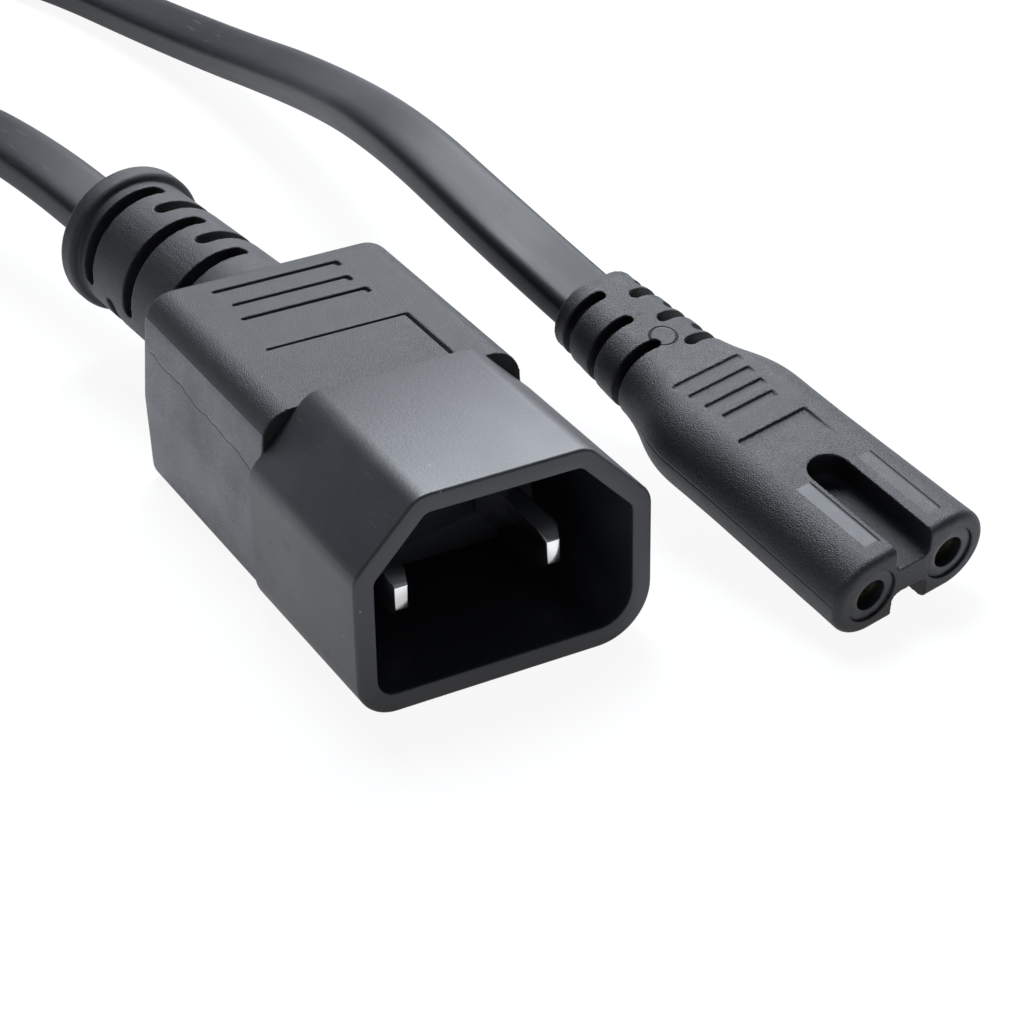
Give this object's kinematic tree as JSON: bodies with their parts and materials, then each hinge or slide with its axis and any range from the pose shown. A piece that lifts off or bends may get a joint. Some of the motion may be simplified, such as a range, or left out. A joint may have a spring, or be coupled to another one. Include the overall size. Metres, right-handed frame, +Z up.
{
  "type": "figure-eight power connector lead",
  "caption": "Moulded figure-eight power connector with a slotted boot, on a short flat cord to a shrouded flat-pin plug.",
  "frame": {"origin": "middle of the connector's bounding box, at the level the lead rests on", "axes": "+X out of the plug's mouth and nearly out of the connector's, +Y from the plug to the connector, +Z up"},
  "size_m": [0.2026, 0.0944, 0.0192],
  "materials": {
    "soft_black": "finely textured soft moulding",
    "shroud_black": "satin stiff moulding",
    "carrier_black": "satin stiff moulding",
    "cord_black": "smooth matt sheath",
    "pin_metal": "nickel plate",
    "contact_metal": "bare spring brass",
    "core_light": "smooth core insulation",
    "core_dark": "smooth core insulation",
    "copper": "bare copper strand"
  },
  "bodies": {
    "root": {"connector_body": "soft_black", "contact_carrier": "carrier_black", "socket_contact_left": "contact_metal", "socket_contact_right": "contact_metal", "connector_core_left": "core_light", "connector_core_right": "core_dark", "connector_strands_left": "copper", "connector_strands_right": "copper", "plug_body": "soft_black", "plug_shroud": "shroud_black", "plug_pin_left": "pin_metal", "plug_pin_right": "pin_metal", "plug_core_left": "core_dark", "plug_core_right": "core_light", "plug_strands_left": "copper", "plug_strands_right": "copper", "cord_sheath": "cord_black"}
  },
  "joints": []
}
